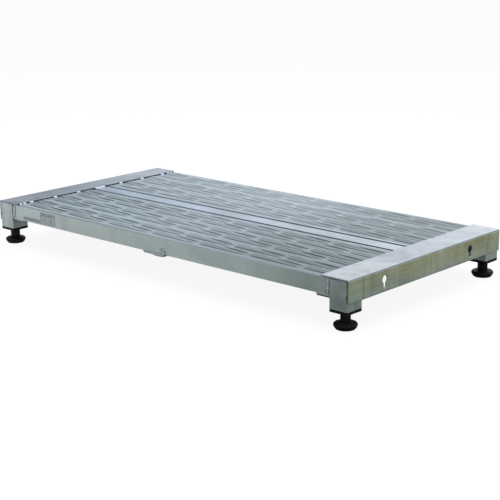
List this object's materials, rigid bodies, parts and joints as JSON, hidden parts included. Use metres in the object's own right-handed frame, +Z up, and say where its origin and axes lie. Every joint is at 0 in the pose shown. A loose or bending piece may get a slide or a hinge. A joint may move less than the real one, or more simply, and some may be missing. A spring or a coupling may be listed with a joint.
{
  "type": "low work platform bench",
  "caption": "Low rectangular aluminium work platform with a treaded plank deck, keyholed end beams and black screw-adjustable feet.",
  "frame": {"origin": "on the floor under the middle of the deck, at the bottom centre of the bounding box", "axes": "+X along the bench, +Y across it to the back, +Z up"},
  "size_m": [1.2, 0.583, 0.116],
  "materials": {
    "beam_aluminium": "mill finish, slightly dull",
    "mill_aluminium": "mill finish with drawn grain",
    "deck_aluminium": "mill finish, bright on the smooth strips",
    "weld_aluminium": "as welded, bright",
    "zinc_steel": "bright zinc plate",
    "black_plastic": "moulded, satin",
    "black_rubber": "matt",
    "label_film": "silver film, blank",
    "label_print": "grey film, blank"
  },
  "bodies": {
    "frame": {"end_beam_left": "beam_aluminium", "end_support_left": "mill_aluminium", "end_beam_right": "beam_aluminium", "end_support_right": "mill_aluminium", "side_rail_front": "mill_aluminium", "deck_plank_front_1": "deck_aluminium", "deck_plank_front_2": "deck_aluminium", "deck_plank_front_3": "deck_aluminium", "side_rail_back": "mill_aluminium", "deck_plank_back_1": "deck_aluminium", "deck_plank_back_2": "deck_aluminium", "deck_plank_back_3": "deck_aluminium", "deck_centre_profile": "deck_aluminium", "cross_member": "mill_aluminium", "leg_tube_front_left": "beam_aluminium", "corner_gusset_front_left": "mill_aluminium", "leg_plug_front_left": "black_plastic", "plug_nut_front_left": "zinc_steel", "leg_tube_front_right": "beam_aluminium", "corner_gusset_front_right": "mill_aluminium", "leg_plug_front_right": "black_plastic", "plug_nut_front_right": "zinc_steel", "leg_tube_back_left": "beam_aluminium", "corner_gusset_back_left": "mill_aluminium", "leg_plug_back_left": "black_plastic", "plug_nut_back_left": "zinc_steel", "leg_tube_back_right": "beam_aluminium", "corner_gusset_back_right": "mill_aluminium", "leg_plug_back_right": "black_plastic", "plug_nut_back_right": "zinc_steel", "frame_welds": "weld_aluminium", "deck_welds": "weld_aluminium", "brace_welds": "weld_aluminium", "rating_label": "label_film", "strip_label": "label_print"},
    "pad_front_left": {"foot_pad_front_left": "black_plastic", "foot_sole_front_left": "black_rubber"},
    "screw_front_left": {"foot_stud_front_left": "zinc_steel", "foot_hub_front_left": "black_plastic"},
    "pad_front_right": {"foot_pad_front_right": "black_plastic", "foot_sole_front_right": "black_rubber"},
    "screw_front_right": {"foot_stud_front_right": "zinc_steel", "foot_hub_front_right": "black_plastic"},
    "pad_back_left": {"foot_pad_back_left": "black_plastic", "foot_sole_back_left": "black_rubber"},
    "screw_back_left": {"foot_stud_back_left": "zinc_steel", "foot_hub_back_left": "black_plastic"},
    "pad_back_right": {"foot_pad_back_right": "black_plastic", "foot_sole_back_right": "black_rubber"},
    "screw_back_right": {"foot_stud_back_right": "zinc_steel", "foot_hub_back_right": "black_plastic"}
  },
  "joints": [
    {"name": "foot_front_left_extend", "type": "slide", "parent": "frame", "child": "pad_front_left", "axis": [0, 0, -1], "range_m": [0, 0.02]},
    {"name": "foot_front_left_turn", "type": "hinge", "parent": "pad_front_left", "child": "screw_front_left", "pos_m": [-0.572, -0.265, 0.02], "axis": [0, 0, -1], "range_deg": [0, 3610]},
    {"name": "foot_front_right_extend", "type": "slide", "parent": "frame", "child": "pad_front_right", "axis": [0, 0, -1], "range_m": [0, 0.02]},
    {"name": "foot_front_right_turn", "type": "hinge", "parent": "pad_front_right", "child": "screw_front_right", "pos_m": [0.572, -0.265, 0.02], "axis": [0, 0, -1], "range_deg": [0, 3610]},
    {"name": "foot_back_left_extend", "type": "slide", "parent": "frame", "child": "pad_back_left", "axis": [0, 0, -1], "range_m": [0, 0.02]},
    {"name": "foot_back_left_turn", "type": "hinge", "parent": "pad_back_left", "child": "screw_back_left", "pos_m": [-0.572, 0.265, 0.02], "axis": [0, 0, -1], "range_deg": [0, 3610]},
    {"name": "foot_back_right_extend", "type": "slide", "parent": "frame", "child": "pad_back_right", "axis": [0, 0, -1], "range_m": [0, 0.02]},
    {"name": "foot_back_right_turn", "type": "hinge", "parent": "pad_back_right", "child": "screw_back_right", "pos_m": [0.572, 0.265, 0.02], "axis": [0, 0, -1], "range_deg": [0, 3610]}
  ],
  "couplings": [
    {"joint": "foot_front_left_turn", "follows": "foot_front_left_extend", "rad_per_m": 3141.6},
    {"joint": "foot_front_right_turn", "follows": "foot_front_right_extend", "rad_per_m": 3141.6},
    {"joint": "foot_back_left_turn", "follows": "foot_back_left_extend", "rad_per_m": 3141.6},
    {"joint": "foot_back_right_turn", "follows": "foot_back_right_extend", "rad_per_m": 3141.6}
  ]
}
